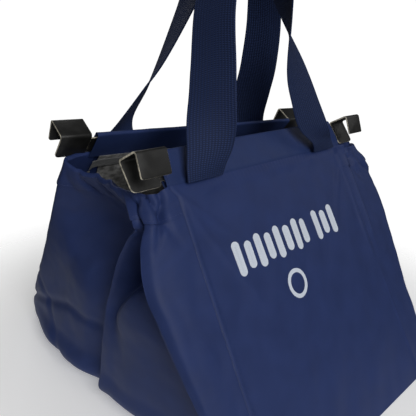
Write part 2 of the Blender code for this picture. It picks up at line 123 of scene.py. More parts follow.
def through(places, values, wanted):
    """Reads a smooth curve through the values at the wanted places."""
    places = np.array(places, float)
    values = np.array(values, float).reshape(len(places), -1)
    rate = slopes(places, values)
    index = np.clip(np.searchsorted(places, wanted, side="right") - 1, 0, len(places) - 2)
    step = (places[index + 1] - places[index])[:, None]
    t = (wanted - places[index])[:, None] / step
    return cubic(values[index], values[index + 1], rate[index], rate[index + 1], step, t)


def wander(x, y, size, seed):
    """Soft random heights from -1 to 1 over a grid of places, the same ones each time."""
    heights = [noise.noise(Vector((a / size, b / size, seed))) for a, b in zip(np.ravel(x), np.ravel(y))]
    return np.array(heights).reshape(np.shape(x))


# Materials


class Shader:
    """A material's nodes, made one after another."""

    def __init__(self, name, colour, roughness, metallic=0.0):
        self.material = bpy.data.materials.new(name)
        self.material.use_nodes = True
        self.tree = self.material.node_tree
        self.surface = self.tree.nodes["Principled BSDF"]
        values = {"Base Color": (*colour, 1.0), "Roughness": roughness, "Metallic": metallic}
        self.set(self.surface, values)
        self.colour = colour
        self.normal = None

    def set(self, node, values):
        for key, value in values.items():
            node.inputs[key].default_value = value

    def link(self, start, finish):
        self.tree.links.new(start, finish)

    def node(self, kind, values=None, **settings):
        made = self.tree.nodes.new(kind)
        for key, value in settings.items():
            setattr(made, key, value)
        self.set(made, values or {})
        return made

    def place(self, use_uv=True):
        coordinates = self.node("ShaderNodeTexCoord")
        return coordinates.outputs["UV" if use_uv else "Object"]

    def noise(self, scale, detail=3.0, use_uv=True, stretch=(1, 1, 1)):
        mapping = self.node("ShaderNodeMapping", {"Scale": stretch})
        self.link(self.place(use_uv), mapping.inputs["Vector"])
        texture = self.node("ShaderNodeTexNoise", {"Scale": scale, "Detail": detail})
        self.link(mapping.outputs["Vector"], texture.inputs["Vector"])
        return texture.outputs["Fac"]

    def waves(self, pitch, direction):
        """Soft bands across u (X) or v (Y), one each pitch."""
        values = {"Scale": 2 * math.pi / (20 * pitch)}
        texture = self.node("ShaderNodeTexWave", values, bands_direction=direction)
        self.link(self.place(), texture.inputs["Vector"])
        return texture.outputs["Fac"]

    def maths(self, operation, first, second):
        made = self.node("ShaderNodeMath", operation=operation)
        for index, value in enumerate((first, second)):
            if isinstance(value, (int, float)):
                made.inputs[index].default_value = value
            else:
                self.link(value, made.inputs[index])
        return made.outputs["Value"]

    def bump(self, height, distance, strength):
        made = self.node("ShaderNodeBump", {"Distance": distance, "Strength": strength})
        self.link(height, made.inputs["Height"])
        if self.normal is not None:
            self.link(self.normal, made.inputs["Normal"])
        self.normal = made.outputs["Normal"]
        self.link(self.normal, self.surface.inputs["Normal"])

    def tint(self, factor, low, high, start=0.3, finish=0.7):
        """Varies the colour between low and high times its own, by the factor."""
        ramp = self.node("ShaderNodeValToRGB")
        for element, place, share in zip(ramp.color_ramp.elements, (start, finish), (low, high)):
            element.position = place
            element.color = (*(c * share for c in self.colour), 1.0)
        self.link(factor, ramp.inputs["Fac"])
        self.link(ramp.outputs["Color"], self.surface.inputs["Base Color"])

    def roughen(self, factor, low, high):
        spread = self.node("ShaderNodeMapRange", {"To Min": low, "To Max": high})
        self.link(factor, spread.inputs["Value"])
        self.link(spread.outputs["Result"], self.surface.inputs["Roughness"])

    def fade(self, near, far):
        """Opaque up to the near distance from the origin, and clear from the far one."""
        distance = self.node("ShaderNodeVectorMath", operation="LENGTH")
        self.link(self.place(use_uv=False), distance.inputs[0])
        values = {"From Min": near, "From Max": far, "To Min": 1.0, "To Max": 0.0}
        spread = self.node("ShaderNodeMapRange", values, interpolation_type="SMOOTHSTEP")
        self.link(distance.outputs["Value"], spread.inputs["Value"])
        self.link(spread.outputs["Result"], self.surface.inputs["Alpha"])

    def sheen(self, weight, tint):
        values = {"Sheen Weight": weight, "Sheen Tint": (*tint, 1.0), "Sheen Roughness": 0.4}
        self.set(self.surface, values)


def cloth_material(name, colour, sheen_weight):
    """Plain-woven polyester with a slight satin sheen."""
    shader = Shader(name, colour, 0.52)
    shader.sheen(sheen_weight, (0.62, 0.70, 0.85))
    shader.set(shader.surface, {"Specular IOR Level": 0.22})
    threads = shader.maths("MULTIPLY", shader.waves(WEAVE, "X"), shader.waves(WEAVE, "Y"))
    patches = shader.noise(38.0, 4.0)
    speckle = shader.noise(1500.0, 2.0)
    shares = (shader.maths("MULTIPLY", patches, 0.6), shader.maths("MULTIPLY", speckle, 0.4))
    shader.tint(shader.maths("ADD", *shares), 0.86, 1.16)
    shader.roughen(patches, 0.46, 0.62)
    shader.bump(shader.noise(16.0, 3.0), 0.0022, 0.35)
    shader.bump(threads, 0.00012, 0.7)
    return shader.material


def webbing_material():
    """Ribbed webbing: the ribs are in the mesh, and their small cross threads are here."""
    shader = Shader("webbing", (0.0130, 0.0250, 0.080), 0.70)
    shader.sheen(0.02, (0.62, 0.70, 0.85))
    shader.set(shader.surface, {"Specular IOR Level": 0.22})
    threads = shader.waves(0.0021, "Y")
    knots = shader.maths("MULTIPLY", shader.waves(STRAP_WIDTH / STRAP_RIBS, "X"), threads)
    shader.tint(knots, 0.70, 1.55, 0.15, 0.75)
    shader.bump(threads, 0.00025, 0.8)
    shader.bump(shader.noise(2200.0, 2.0), 0.0001, 0.6)
    return shader.material


def lining_material():
    """Mottled grey coated cloth with small creases."""
    shader = Shader("lining", (0.200, 0.198, 0.194), 0.58)
    shader.sheen(0.12, (0.8, 0.8, 0.8))
    mottle = shader.noise(140.0, 6.0)
    shader.tint(mottle, 0.55, 1.75, 0.36, 0.66)
    shader.roughen(mottle, 0.45, 0.72)
    shader.bump(shader.noise(70.0, 5.0), 0.0016, 0.7)
    shader.bump(mottle, 0.0005, 0.6)
    return shader.material


def tape_material():
    shader = Shader("tape", (0.125, 0.127, 0.130), 0.80)
    shader.sheen(0.15, (0.8, 0.8, 0.8))
    threads = shader.maths("ADD", shader.waves(0.0012, "X"), shader.waves(0.0008, "Y"))
    shader.tint(threads, 0.75, 1.25)
    shader.bump(threads, 0.00015, 0.8)
    return shader.material


def coated_steel_material():
    """Semi-matt black coating with a fine orange-peel surface and rubbed patches."""
    shader = Shader("black_coating", (0.012, 0.012, 0.0115), 0.42, 0.10)
    wear = shader.noise(90.0, 6.0, use_uv=False)
    shader.tint(wear, 0.75, 1.7, 0.40, 0.72)
    shader.roughen(wear, 0.34, 0.56)
    shader.bump(shader.noise(900.0, 3.0, use_uv=False), 0.0002, 0.5)
    return shader.material


def rim_wear_and_highlight_material():
    """Pale cut edges: partly bare metal where the coating is rubbed off, and partly a painted highlight of
    light catching the sheet's cut edges.
    """
    shader = Shader("worn_edge", (0.72, 0.67, 0.54), 0.42, 0.15)
    rim_patches = shader.noise(220.0, 5.0, use_uv=False)
    shader.tint(rim_patches, 0.45, 1.35, 0.35, 0.62)
    shader.roughen(rim_patches, 0.26, 0.52)
    shader.bump(rim_patches, 0.0002, 0.5)
    return shader.material


def steel_material():
    """Zinc-plated steel, brushed along the bar."""
    shader = Shader("plated_steel", (0.46, 0.46, 0.45), 0.36, 1.0)
    brushed = shader.noise(700.0, 4.0, use_uv=False, stretch=(0.04, 1, 1))
    shader.tint(brushed, 0.85, 1.12)
    shader.roughen(brushed, 0.28, 0.48)
    shader.bump(brushed, 0.0001, 0.4)
    return shader.material


def board_material():
    shader = Shader("board", (0.125, 0.118, 0.106), 0.85)
    fibres = shader.noise(420.0, 6.0, use_uv=False, stretch=(0.3, 1, 1))
    shader.tint(fibres, 0.8, 1.25)
    shader.bump(fibres, 0.0003, 0.6)
    return shader.material


def elastic_material():
    shader = Shader("elastic", (0.58, 0.58, 0.56), 0.80)
    cords = shader.maths("MULTIPLY", shader.waves(0.0014, "Y"), shader.waves(0.0009, "X"))
    shader.tint(cords, 0.8, 1.15)
    shader.bump(cords, 0.0003, 0.9)
    return shader.material


def print_material():
    """Pale ink that lies on the weave, with tiny pinholes."""
    shader = Shader("pale_ink", (0.70, 0.76, 0.86), 0.60)
    pinholes = shader.noise(1900.0, 2.0)
    shader.tint(pinholes, 0.86, 1.06, 0.34, 0.55)
    shader.bump(shader.waves(WEAVE, "X"), 0.0001, 0.5)
    return shader.material


def thread_material():
    shader = Shader("thread", (0.030, 0.045, 0.150), 0.55)
    twist = shader.noise(2500.0, 2.0, use_uv=False)
    shader.tint(twist, 0.7, 1.5)
    shader.bump(twist, 0.0001, 0.5)
    return shader.material


NAVY = cloth_material("navy_cloth", (0.0205, 0.037, 0.128), 0.02)
NAVY_SMOOTH = cloth_material("navy_sleeve_cloth", (0.0200, 0.037, 0.122), 0.02)
WEBBING = webbing_material()
GREY = lining_material()
TAPE = tape_material()
BLACK = coated_steel_material()
# Pale rim colour for the hooks' cut edges: worn bare metal together with a painted highlight.
RIM_WEAR_AND_HIGHLIGHT = rim_wear_and_highlight_material()
STEEL = steel_material()
BOARD = board_material()
ELASTIC = elastic_material()
INK = print_material()
THREAD = thread_material()


# Making pieces


def lengths(points, axis):
    """Distances along a grid's rows (axis 1) or columns (axis 0), from nought."""
    steps = np.linalg.norm(np.diff(points, axis=axis), axis=2)
    pad = [(0, 0), (0, 0)]
    pad[axis] = (1, 0)
    return np.pad(np.cumsum(steps, axis=axis), pad)


def normals_of(points):
    """Unit normals of a grid of points, from the next columns and rows."""
    normal = np.cross(np.gradient(points, axis=1), np.gradient(points, axis=0))
    return normal / np.maximum(np.linalg.norm(normal, axis=2, keepdims=True), 1e-12)


def grid_lists(points, around=False):
    """The vertices and faces of a grid of points. Around closes its rows into rings."""
    rows, columns = points.shape[:2]
    index = np.arange(rows * columns).reshape(rows, columns)
    right = np.roll(index, -1, axis=1)
    last = columns if around else columns - 1
    corners = [index[:-1, :last], right[:-1, :last], right[1:, :last], index[1:, :last]]
    return points.reshape(-1, 3).tolist(), np.stack(corners, axis=-1).reshape(-1, 4).tolist()


def grid_mesh(name, points, around=False):
    """A mesh through a grid of points, with UVs in metres."""
    vertices, faces = grid_lists(points, around)
    mesh = bpy.data.meshes.new(name)
    mesh.from_pydata(vertices, [], faces)
    places = np.stack([lengths(points, 1), lengths(points, 0)], axis=-1).reshape(-1, 2)
    layer = mesh.uv_layers.new(name="UVMap")
    layer.data.foreach_set("uv", places[np.ravel(faces)].ravel())
    return mesh


def mesh_of(body, name):
    """Turns what was built in a bmesh into a mesh."""
    mesh = bpy.data.meshes.new(name)
    body.to_mesh(mesh)
    body.free()
    return mesh


def add_piece(name, mesh, *materials):
    piece = bpy.data.objects.new(name, mesh)
    bpy.context.scene.collection.objects.link(piece)
    mesh.materials.clear()
    for material in materials:
        mesh.materials.append(material)
    return piece


def freeze(piece, sharp=40):
    """Applies the modifiers, and shades all but the sharp edges smooth."""
    depsgraph = bpy.context.evaluated_depsgraph_get()
    mesh = bpy.data.meshes.new_from_object(piece.evaluated_get(depsgraph))
    piece.modifiers.clear()
    piece.data = mesh
    mesh.shade_smooth()
    mesh.set_sharp_from_angle(angle=math.radians(sharp))
    return piece


def thicken(piece, thickness, offset):
    """Gives a sheet its thickness, on its inner (-1) or outer (1) side."""
    solidify = piece.modifiers.new("Thickness", "SOLIDIFY")
    solidify.thickness = thickness
    solidify.offset = offset
    return freeze(piece)


def cloth_piece(name, points, thickness, material, outwards):
    """A sheet of cloth whose outer face is the grid of points."""
    facing = normals_of(points)[points.shape[0] // 2, points.shape[1] // 2]
    if facing @ np.array(outwards, float) < 0:
        points = points[:, ::-1]
    return thicken(add_piece(name, grid_mesh(name, points), material), thickness, -1)


def stitches(name, line, normal):
    """A row of raised thread stitches along a line of points, in one mesh."""
    line = np.array(line, float)
    normal = np.array(normal, float).reshape(-1, 3)
    travelled = np.concatenate([[0], np.cumsum(np.linalg.norm(np.diff(line, axis=0), axis=1))])
    whole = bmesh.new()
    for start in np.arange(STITCH_GAP, travelled[-1] - STITCH_LENGTH, STITCH_LENGTH + STITCH_GAP):
        places = (start, start + STITCH_LENGTH)
        ends = [[np.interp(place, travelled, line[:, k]) for k in range(3)] for place in places]
        near = min(int(np.searchsorted(travelled, start)), len(normal) - 1)
        add_stitch(whole, Vector(ends[0]), Vector(ends[1]), Vector(normal[near]))
    mesh = mesh_of(whole, name)
    mesh.shade_smooth()
    return add_piece(name, mesh, THREAD)


def add_stitch(whole, start, finish, out):
    """One stitch: a thread that rises from the cloth and dips back into it."""
    along = (finish - start).normalized()
    sideways = along.cross(out).normalized()
    arms = [sideways * math.cos(math.pi * k / 3) + out * math.sin(math.pi * k / 3) for k in range(6)]
    rings = []
    for share, size in ((0.0, 0.25), (0.2, 0.85), (0.5, 1.0), (0.8, 0.85), (1.0, 0.25)):
        centre = start.lerp(finish, share) + out * (THREAD_RISE * math.sin(math.pi * share))
        rings.append([whole.verts.new(centre + arm * (THREAD_RADIUS * size)) for arm in arms])
    for before, after in zip(rings, rings[1:]):
        for k in range(6):
            whole.faces.new((before[k], before[(k + 1) % 6], after[(k + 1) % 6], after[k]))
    whole.faces.new(rings[0][::-1])
    whole.faces.new(rings[-1])


# The two sides


def node_points(node):
    return np.array([v.co for v in frame["nodes"][node].data.vertices], float)


class Side:
    """The front or back side: its frame along the sleeve (x along, y up, z out) and its panel."""

    def __init__(self, name):
        self.name = name
        self.body = f"{name}_side"
        self.facing = -1 if name == "front" else 1
        bar = node_points(f"{name}_bar")
        directions = np.linalg.svd(bar - bar.mean(axis=0))[2]
        out = Vector(directions[2])
        out = out if out.y * self.facing > 0 else -out
        up = Vector(directions[1])
        up = up if up.z > 0 else -up
        along = up.cross(out).normalized()
        turn = Matrix((along, up, out)).transposed()
        sleeve = node_points(f"{name}_sleeve") @ np.array(turn)
        low, high = sleeve.min(axis=0), sleeve.max(axis=0)
        centre = Vector(((low[0] + high[0]) / 2, low[1], (low[2] + high[2]) / 2))
        self.half = (high[0] - low[0]) / 2
        self.height = high[1] - low[1]
        self.to_world = Matrix.Translation(turn @ centre) @ turn.to_4x4()
        self.along, self.sleeve_up, self.sleeve_out = along, up, out
        base = Vector((0, self.facing * HALF_DEPTH, HINGE_HEIGHT))
        seam = self.to_world @ Vector((0, 0, PANEL_OUT))
        self.base = base
        self.slope = (seam - base).length
        self.out = Vector((1, 0, 0)).cross(seam - base).normalized() * -self.facing

    def end(self, wall):
        """Which way along the sleeve the left (-1) or right (1) wall is."""
        return -wall * self.facing

    def edge(self, wall, height):
        """The panel's edge beside that wall, at that height."""
        top = self.to_world @ Vector((self.end(wall) * self.half, 0, PANEL_OUT))
        foot = Vector((wall * BASE_HALF, self.base.y, HINGE_HEIGHT))
        return foot.lerp(top, (height - foot.z) / (top.z - foot.z))

    def crease(self, wall, height):
        """The pressed crease where panel and gusset meet, a little inside the edge."""
        share = (height - HINGE_HEIGHT) / (SEAM_HEIGHT - HINGE_HEIGHT)
        inset = mix(0.0145, 0.0085, share) - 0.006 * float(smooth((share - 0.96) / 0.04))
        return self.edge(wall, height) + self.along * (-self.end(wall) * inset)

    def swell(self, height):
        """How far the slack cloth stands up at both sides of the front's right seam."""
        share = (height - HINGE_HEIGHT) / (SEAM_HEIGHT - HINGE_HEIGHT)
        return SWELL * smooth((share - 0.46) / 0.25) * (self.facing < 0)

    def panel_point(self, across, down):
        """A point of the panel: across from -1 to 1 along x, down from the seam (0) to the base (1)."""
        top = (self.to_world @ Vector((0, 0, PANEL_OUT))).z
        ends = []
        for wall in (-1, 1):
            edge_top = self.edge(wall, top).z + self.along.z * self.end(wall) * self.half
            ends.append(self.crease(wall, mix(edge_top, HINGE_HEIGHT, down)))
        return ends[0].lerp(ends[1], (across + 1) / 2)


FRONT = Side("front")
BACK = Side("back")


# Gussets. Each wall's section is a smooth curve through named folds, from the front crease to the
# back one. A fold is given at each level as its reach, outwards from the line between the panels'
# edges, and its place, as a share of the way from its own side's edge to the middle.

LEVELS = (0.0, 0.06, 0.17, 0.34, 0.50, 0.60, 0.70, 0.80, 0.90, 0.98)  # shares of the seam's height

FRONT_RIDGE = (
    (0.003, 0.017), (0.012, 0.035), (0.023, 0.053), (0.0334, 0.078), (0.0405, 0.1),
    (0.044, 0.114), (0.0484, 0.137), (0.0426, 0.163), (0.0313, 0.127), (0.021, 0.227),
)
BEHIND_RIDGE = (
    (0.003, 0.03), (0.006, 0.05), (0.012, 0.08), (0.0185, 0.112), (0.0225, 0.14),
    (0.0245, 0.17), (0.03, 0.195), (0.032, 0.208), (0.029, 0.165), (0.024, 0.29),
)
POCKET_LIP = (
    (0.003, 0.79), (0.032, 0.78), (0.035, 0.76), (0.0335, 0.715), (0.0335, 0.75),
    (0.032, 0.57), (0.02, 0.285), (0.0125, 0.262), (0.023, 0.198), (0.025, 0.333),
)
POCKET = (
    (0.003, 0.88), (0.033, 0.88), (0.036, 0.866), (0.0335, 0.83), (0.021, 0.825),
    (0.001, 0.68), (-0.012, 0.455), (-0.005, 0.34), (0.018, 0.219), (0.0265, 0.39),
)
TUCK_FLANK = (
    (0.003, 0.93), (0.034, 0.935), (0.0375, 0.928), (0.0352, 0.9), (0.0275, 0.876),
    (0.0175, 0.775), (0.011, 0.655), (0.013, 0.465), (0.025, 0.242), (0.0275, 0.447),
)
TUCK = (
    (0.003, 0.965), (0.035, 0.965), (0.038, 0.962), (0.0355, 0.941), (0.0315, 0.903),
    (0.0305, 0.825), (0.0295, 0.733), (0.0295, 0.544), (0.0325, 0.272), (0.0285, 0.504),
)
TUCK_BACK = (
    (0.003, 0.98), (0.03, 0.982), (0.03, 0.981), (0.0275, 0.967), (0.025, 0.938),
    (0.0225, 0.88), (0.0165, 0.8), (0.015, 0.62), (0.024, 0.375), (0.028, 0.645),
)
MIDDLE = (
    (0.003, 1.0), (0.028, 1.0), (0.0245, 1.0), (0.0205, 1.0), (0.017, 1.0),
    (0.009, 1.0), (-0.009, 1.0), (-0.013, 1.0), (0.003, 1.0), (0.024, 1.0),
)
BACK_HOLLOW = (
    (0.003, 0.82), (0.038, 0.82), (0.034, 0.809), (0.031, 0.789), (0.03, 0.78),
    (0.02, 0.76), (0.0000, 0.71), (-0.005, 0.69), (0.008, 0.7), (0.0255, 0.716),
)
BACK_SWELL = (
    (0.003, 0.46), (0.0385, 0.45), (0.0355, 0.42), (0.03, 0.45), (0.031, 0.52),
    (0.032, 0.47), (0.0315, 0.35), (0.029, 0.33), (0.027, 0.42), (0.032, 0.46),
)
BACK_RIDGE = (
    (0.003, 0.017), (0.0165, 0.038), (0.0245, 0.057), (0.0275, 0.078), (0.0293, 0.1),
    (0.031, 0.114), (0.0337, 0.137), (0.0362, 0.158), (0.037, 0.192), (0.036, 0.234),
)
# The right gusset stands out further: its extra reach at each level, and each fold's share of it.
EXTRA = (0.0, 0.006, 0.0135, 0.0146, 0.0185, 0.021, 0.021, 0.027, 0.030, 0.030)
FRONT_FOLDS = (
    (FRONT_RIDGE, 1.0, 0.40), (BEHIND_RIDGE, 1.0, 0.5), (POCKET_LIP, 0.9, 0.8), (POCKET, 0.7, 1.0),
    (TUCK_FLANK, 0.6, 0.9), (TUCK, 0.6, 0.25), (TUCK_BACK, 0.5, 0.6), (MIDDLE, 0.3, 1.0),
)
BACK_FOLDS = ((BACK_HOLLOW, 0.25, 1.0), (BACK_SWELL, 0.15, 1.0), (BACK_RIDGE, 0.0, 0.55))
STRIP_STEPS = ((0.5, 0.16), (0.88, 0.45))  # the strip beside a ridge: shares of its reach and depth
COLUMNS = (10, 10, 6, 5, 16, 10, 8, 5, 5, 12, 16, 20, 24, 6, 8, 8)


def fold_point(wall, front, back, from_front, reach, place):
    """Where a fold is in the row frame, as x and y."""
    edge, other = (front, back) if from_front else (back, front)
    middle_x = (edge.x + other.x) / 2
    x = mix(edge.x, middle_x, place) + wall * reach
    return x, edge.y * (1 - place)


def section_folds(wall, heights):
    """The folds' x and y at each height, and how tightly each fold turns."""
    levels = heights / SEAM_HEIGHT
    extra = through(LEVELS, EXTRA, levels)[:, 0] * (wall > 0)
    tightness = []
    tracks = []
    for number, (rows, share, tight) in enumerate(FRONT_FOLDS + BACK_FOLDS):
        reach, place = through(LEVELS, rows, levels).T
        tracks.append((number < len(FRONT_FOLDS), reach + extra * share, np.minimum(place, 1.0)))
        tightness.append(tight)
    first, last = tracks[0], tracks[-1]
    before = [(True, first[1] * a, first[2] * b) for a, b in STRIP_STEPS]
    after = [(False, last[1] * a, last[2] * b) for a, b in STRIP_STEPS[::-1]]
    tightness = [1.0, 1.0, 0.8, *tightness, 0.8, 1.0, 1.0]
    sections = []
    for row, height in enumerate(heights):
        front = FRONT.edge(wall, height)
        back = BACK.edge(wall, height)
        points = [FRONT.crease(wall, height).to_2d()]
        for from_front, reach, place in before + tracks + after:
            points.append(fold_point(wall, front, back, from_front, reach[row], place[row]))
        points.append(BACK.crease(wall, height).to_2d())
        sections.append(np.array([tuple(p) for p in points]))
    return np.array(sections), np.array(tightness)


def section_curve(folds, tightness):
    """A curve through the folds, tight where the cloth is creased, with set columns for each span."""
    spans = np.maximum(np.linalg.norm(np.diff(folds, axis=0), axis=1), 1e-5)
    places = np.concatenate([[0], np.cumsum(spans)])
    rate = slopes(places, folds) * tightness[:, None]
    curve = [folds[:1]]
    for index, count in enumerate(COLUMNS):
        t = (np.arange(1, count + 1) / count)[:, None]
        after = index + 1
        curve.append(cubic(folds[index], folds[after], rate[index], rate[after], spans[index], t))
    return np.vstack(curve)


MIDDLE_COLUMN = sum(COLUMNS[: len(FRONT_FOLDS) + len(STRIP_STEPS)])
SEWN_REACH = 0.012  # how far a panel's seam holds the gusset smooth
GATHERS = 9  # along one gusset's hem
GATHER_DEPTH = 0.0036
PLEATS = ((0.016, 0.55, 0.0050), (0.032, -0.45, 0.0042))  # place from the front, lean and depth
PLEAT_WIDTH = 0.0036
SLACK_WAVE = 0.0016
SMALL_WAVE = 0.0006
LOW_CREASE = 0.0034  # the two creases low down behind the middle
LOWER_CREASE = 0.0020
FRONT_LIFT = 0.0055  # how much higher the hem stands where it meets the panels
BACK_LIFT = 0.0130
FRONT_LIFT_WIDTH = 0.016
BACK_LIFT_END = 0.080
BACK_LIFT_WIDTH = 0.055


def wrinkles(wall, points, heights):
    """How far the cloth stands off its folds' curve: gathers under the hem and small creases."""
    level = (heights / SEAM_HEIGHT)[:, None]
    run = lengths(points, 1)
    whole = run[:, -1:]
    share = run / whole
    free = smooth(np.minimum(run, whole - run) / SEWN_REACH)
    run = run - run[:, MIDDLE_COLUMN][:, None]
    gather = smooth((level - 0.80) / 0.12)
    drift = wander(run, level * 0.25 + 0 * run, 0.05, 3.1 + wall)
    phase = share * 2 * math.pi * GATHERS + 3.4 * drift
    size = smooth((share - 0.10) / 0.12) * (1 - 0.75 * smooth((share - 0.60) / 0.15))
    size *= 0.8 + 0.7 * wander(run, 0 * run, 0.03, 9.0 + wall)
    size = size * (1 - 0.55 * smooth((level - 0.92) / 0.05))
    offset = GATHER_DEPTH * gather * size * (np.sin(phase) + 0.35 * np.sin(2 * phase + 1.3))
    below_top = HEM_TOP - heights[:, None]
    for start, lean, depth in PLEATS:
        offset -= depth * gather * hill(share * whole - start - lean * below_top, 0, PLEAT_WIDTH)
    height = np.broadcast_to(heights[:, None], run.shape)
    offset += SLACK_WAVE * wander(run + 0.4 * height, height * 0.6, 0.045, 5.7 + wall)
    offset += SMALL_WAVE * wander(run, height, 0.014, 1.7 + wall)
    y, z = points[..., 1], points[..., 2]
    behind = smooth(y / 0.03) * smooth((0.40 - level) / 0.1)
    offset -= LOW_CREASE * hill(z, 0.088 - 0.35 * np.maximum(y - 0.08, 0), 0.006) * behind
    offset -= LOWER_CREASE * hill(z, 0.052 + 0.9 * (y - 0.12), 0.007) * behind
    offset = offset * free * smooth(level / 0.05)
    if wall > 0:
        offset += 1.2 * FRONT.swell(heights)[:, None] * hill(share * whole, SWELL_PLACE, SWELL_WIDTH)
    return offset


def raise_corners(points, heights):
    """Lifts the top of the cloth beside the seams, along the panels' slope."""
    top = smooth((heights / SEAM_HEIGHT - 0.86) / 0.12)[:, None]
    run = lengths(points, 1)
    front = FRONT_LIFT * top * hill(run, 0, FRONT_LIFT_WIDTH)
    back = BACK_LIFT * top * smooth((BACK_LIFT_END - (run[:, -1:] - run)) / BACK_LIFT_WIDTH)
    slope = (HALF_DEPTH - abs(FRONT.to_world.translation.y)) / (SEAM_HEIGHT - HINGE_HEIGHT)
    points[..., 2] += front + back
    points[..., 1] += (front - back) * slope
    return points


def wall_grid(wall, heights, inset=0.0):
    """Points and outward normals of a gusset's cloth at those heights, or of a layer inside it."""
    folds, tightness = section_folds(wall, heights)
    curves = np.array([section_curve(row, tightness) for row in folds])
    level = np.broadcast_to(heights[:, None, None], (*curves.shape[:2], 1))
    points = np.concatenate([curves, level], axis=2)
    normal = normals_of(points)
    if normal[len(heights) // 2, MIDDLE_COLUMN, 0] * wall < 0:
        normal = -normal
    points = points + normal * (wrinkles(wall, points, heights) - inset)[..., None]
    return raise_corners(points, heights), normal


def halves(points):
    """The front and back half of a gusset's grid, which share the middle column."""
    return {"front": points[:, : MIDDLE_COLUMN + 1], "back": points[:, MIDDLE_COLUMN:]}


def follow(piece):
    """Bakes the cloth's transform into its mesh."""
    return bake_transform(piece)


LINING_FOOT = 0.008
LINING_INSET = 0.006  # inside the line from panel to panel
LINING_SAG = 0.020  # and this much more in the middle, higher up
LINING_CREASES = 0.0020
HEM_CLOTH = 0.0006
HEM_OUT = (0.0002, 0.0011)  # its outer ply off the gusset: at the panels, and more between them
HEM_IN = (-0.0010, -0.0022)  # and its inner ply
HEM_ROUND = 0.0022  # its folded edge above the gusset's
ELASTIC_IN = 0.0008


def lining_grid(wall, heights, outer, normal):
    """The gusset's lining, which hangs straight inside its folds and joins the hem at the top."""
    run = lengths(outer, 1)
    share = run / run[:, -1:]
    level = (heights / SEAM_HEIGHT)[:, None]
    ends = [np.array([side.edge(wall, height) for height in heights])[:, None] for side in (FRONT, BACK)]
    flat = mix(*ends, share[..., None])
    sag = LINING_SAG * smooth((level - 0.36) / 0.15) * np.sin(math.pi * share)
    creases = LINING_CREASES * wander(run, level * SEAM_HEIGHT + 0 * run, 0.024, 8.0 + wall)
    flat[..., 0] -= wall * (LINING_INSET + sag + creases)
    straight = mix(outer[:, :1], outer[:, -1:], share[..., None])
    straight = mix(straight, flat, smooth(np.minimum(share, 1 - share) / 0.05)[..., None])
    joined = outer - normal * (CLOTH + 0.0004)
    return mix(straight, joined, smooth((level - 0.78) / 0.10)[..., None])


def build_gusset(word, wall):
    heights = np.concatenate([np.linspace(0.0012, 0.03, 9)[:-1], np.linspace(0.03, HEM_TOP - 0.0015, 72)])
    outer, normal = wall_grid(wall, heights)
    kept = (heights > LINING_FOOT) & (heights < HEM_BOTTOM + 0.004)
    lining = lining_grid(wall, heights, outer, normal)[kept]
    for name, points in halves(outer).items():
        piece = cloth_piece(f"gusset_{name}_{word}_cloth", points, CLOTH, NAVY, (wall, 0, 0))
        follow(piece)
        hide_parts(f"gusset_{name}_{word}", f"gusset_centre_{word}")
    for name, points in halves(lining).items():
        piece = cloth_piece(f"gusset_{name}_{word}_lining", points, LINING, GREY, (wall, 0, 0))
        follow(piece)
        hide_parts(f"gusset_lining_{word}")


def build_hem(word, wall):
    """The hem folded over the gusset's top edge, its elastic and its stitches."""
    heights = np.linspace(HEM_BOTTOM, HEM_TOP, 11)
    points, normal = wall_grid(wall, heights)
    run = lengths(points, 1)
    loose = smooth(np.minimum(run, run[:, -1:] - run) / 0.010)[..., None]
    outside, inside = (near + more * loose for near, more in (HEM_OUT, HEM_IN))
    outer = points + normal * outside
    inner = (points + normal * inside)[::-1]
    over = [
        points[-1:] + normal[-1:] * mix(outside[-1:], inside[-1:], 0.5 - 0.5 * math.cos(turn))
        + np.array([0, 0, HEM_ROUND * math.sin(turn)])
        for turn in (math.pi / 4, math.pi / 2, 3 * math.pi / 4)
    ]
    band = np.concatenate([outer, *over, inner])
    elastic = (points - normal * ELASTIC_IN * loose)[2:8]
    for name, part in halves(band).items():
        piece = cloth_piece(f"hem_{name}_{word}_band", part, HEM_CLOTH, NAVY, (0, 0, 1))
        follow(piece)
        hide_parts(f"hem_{name}_{word}")
    for name, part in halves(elastic).items():
        part = part[:, 6:-1] if name == "front" else part[:, 1:-6]
        piece = cloth_piece(f"hem_{name}_{word}_elastic", part, LINING, ELASTIC, (wall, 0, 0))
        follow(piece)
        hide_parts(f"hem_elastic_{word}")
    line = {name: part[1] for name, part in halves(outer).items()}
    for name, part in halves(normal).items():
        piece = stitches(f"hem_{name}_{word}_stitches", line[name], part[1])
        follow(piece)


# Panels. A wave is its height, its lean, its stretch along the drop, its size and its seed. A pull is
# a ridge from a top corner: the corner's end, its lean and its height.

PANEL_BULGE = 0.0030
PANEL_WAVES = ((0.0018, 0, 0.35, 0.060, 12.3), (0.0013, 0.5, 0.5, 0.030, 7.7))
PANEL_PULLS = ((-1, 0.9, 0.0020), (-1, 1.9, 0.0014), (1, 1.2, 0.0016))
PULL_WIDTH = 0.0055
PUCKER_HEIGHT = 0.00055  # of the seam's puckers
PUCKER_PITCH = 0.0062
SEAM_ROLL = 0.0009  # under the seam
EDGE_RIDGE = 0.0013  # of the cloth pressed at the side seams
LINING_LAYER = 0.0036  # from the panel's outer face in to its lining


